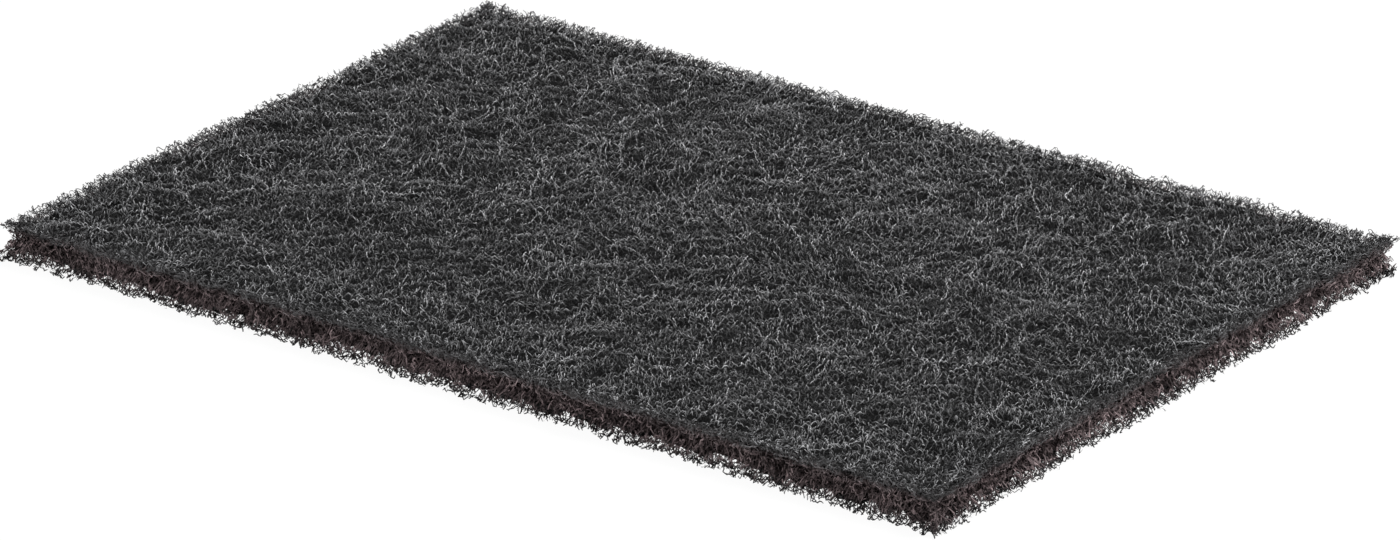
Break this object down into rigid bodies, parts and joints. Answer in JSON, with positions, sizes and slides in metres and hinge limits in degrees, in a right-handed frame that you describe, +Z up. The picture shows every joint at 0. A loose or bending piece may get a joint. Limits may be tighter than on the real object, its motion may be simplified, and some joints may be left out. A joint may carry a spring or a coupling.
{
  "type": "nylon scouring pad",
  "caption": "Flat rectangular scouring pad of open crimped nylon fibre web, coated with grit and resin, with ragged cut edges.",
  "frame": {"origin": "centre of the lower face, which the pad lies on", "axes": "+X along the long cut edges, +Y along the short cut edges, +Z up through the thickness"},
  "size_m": [0.2286, 0.1524, 0.0079],
  "materials": {
    "gritted_nylon": "charcoal crimped nylon fibres coated with resin and grit, matt, red-brown between the faces on the cut edges"
  },
  "bodies": {
    "root": {"fibre_web": "gritted_nylon"}
  },
  "joints": []
}
